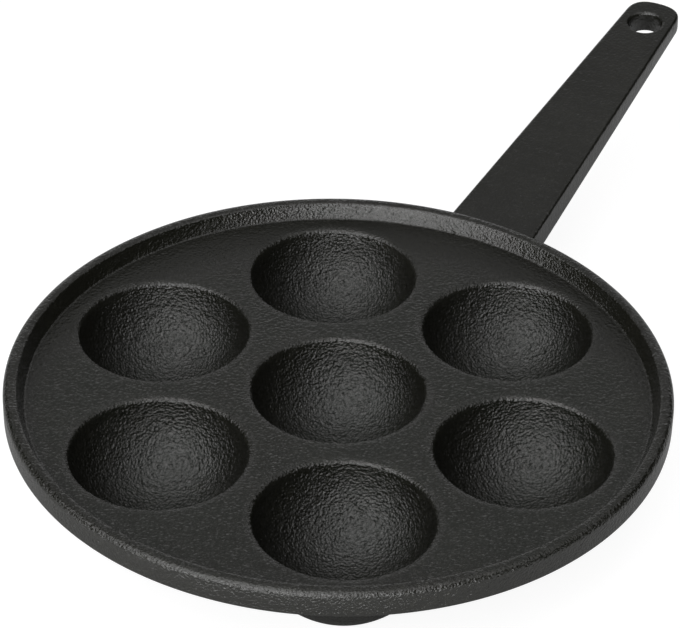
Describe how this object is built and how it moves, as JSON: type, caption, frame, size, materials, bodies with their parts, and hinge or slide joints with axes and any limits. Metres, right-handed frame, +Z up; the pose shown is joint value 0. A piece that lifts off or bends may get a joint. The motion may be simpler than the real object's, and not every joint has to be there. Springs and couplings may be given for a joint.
{
  "type": "poffertjes pan",
  "caption": "Round cast-iron stovetop pan with a low rim, deep round baking cups with flat feet, and a flat tapered handle that rises to a hanging hole.",
  "frame": {"origin": "middle of the centre cup's flat foot, on the surface that the pan stands on", "axes": "+Z up, +X along the handle away from the pan, midway between two cups"},
  "size_m": [0.3782, 0.2196, 0.0496],
  "materials": {
    "plate_iron": "seasoned, fine sand-cast grain",
    "rim_iron": "seasoned, coarse sand-cast grain with worn edges",
    "cup_iron": "seasoned, coarse sand-cast grain, oily sheen",
    "handle_iron": "seasoned, smooth and matt with a few pits"
  },
  "bodies": {
    "root": {"deck_plate": "plate_iron", "rim": "rim_iron", "cup_centre": "cup_iron", "cup_1": "cup_iron", "cup_2": "cup_iron", "cup_3": "cup_iron", "cup_4": "cup_iron", "cup_5": "cup_iron", "cup_6": "cup_iron", "handle": "handle_iron"}
  },
  "joints": []
}
